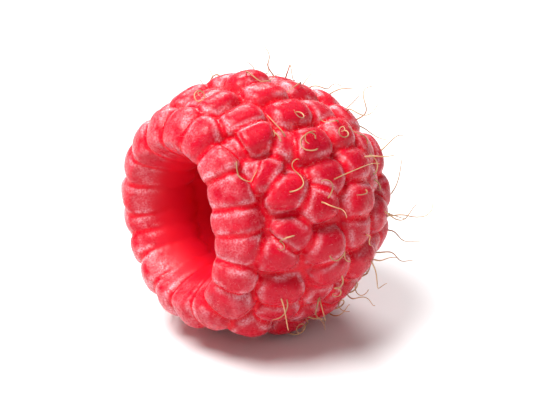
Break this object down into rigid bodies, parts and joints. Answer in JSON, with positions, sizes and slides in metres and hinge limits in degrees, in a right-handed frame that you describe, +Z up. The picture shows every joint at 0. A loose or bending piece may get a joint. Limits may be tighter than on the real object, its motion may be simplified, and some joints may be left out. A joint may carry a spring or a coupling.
{
  "type": "raspberry",
  "caption": "Ripe red raspberry, picked off its stalk and lying on its side, with drupelets fused round an open hollow.",
  "frame": {"origin": "on the surface the fruit lies on, under the middle of its bounding box", "axes": "+Z up; -X is the way the mouth of the hollow faces, and +X is towards the tip"},
  "size_m": [0.0198, 0.0207, 0.0209],
  "materials": {
    "drupelet_skin": "satin red fruit skin with a pinkish down, deeper red in the creases and in the hollow"
  },
  "bodies": {
    "root": {"raspberry": "drupelet_skin"}
  },
  "joints": []
}
